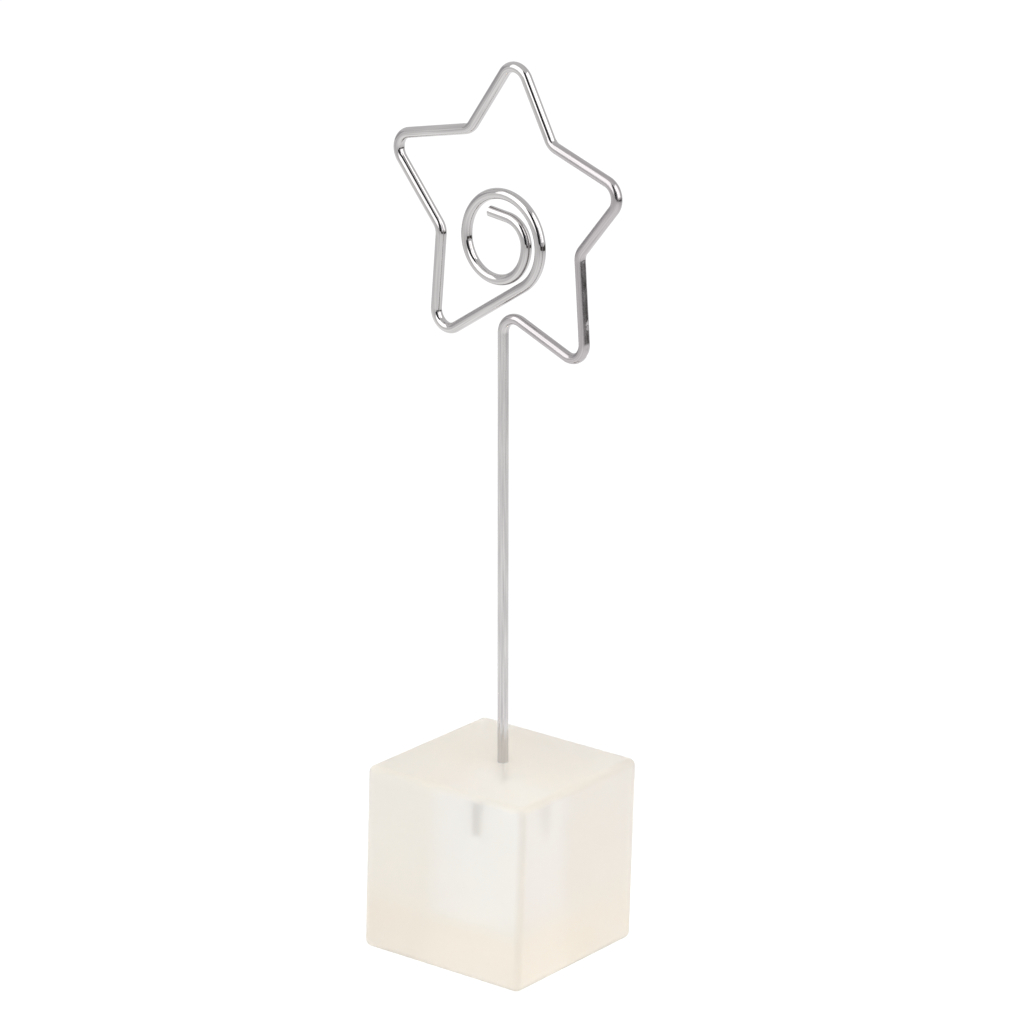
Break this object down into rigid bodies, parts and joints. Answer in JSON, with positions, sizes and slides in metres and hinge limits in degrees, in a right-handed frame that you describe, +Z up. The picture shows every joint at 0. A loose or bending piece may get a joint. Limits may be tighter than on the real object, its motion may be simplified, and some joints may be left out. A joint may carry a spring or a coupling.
{
  "type": "memo clip holder",
  "caption": "Frosted resin cube with a tall plated wire stem bent into a star outline; the wire ends in a flat coil inside the star that grips a card or note, and it turns in its socket.",
  "frame": {"origin": "middle of the cube's underside", "axes": "+Z up, X and Y along the cube's sides; the wider front face in the picture faces -Y and the narrower one +X; the stem leans 1.5 degrees from +Z towards the corner between -X and -Y"},
  "size_m": [0.0451, 0.03, 0.1407],
  "materials": {
    "frosted_resin": "cast cream-white translucent resin with a fine frosted skin",
    "plated_wire": "bright nickel-chrome plate over drawn steel wire, with the drawing lines showing on the stem"
  },
  "bodies": {
    "block": {"base_block": "frosted_resin"},
    "clip": {"wire_clip": "plated_wire"}
  },
  "joints": [
    {"name": "clip_swivel", "type": "hinge", "parent": "block", "child": "clip", "pos_m": [0, 0, 0.03], "axis": [-0.0185, -0.0185, 0.9997], "continuous": true}
  ]
}
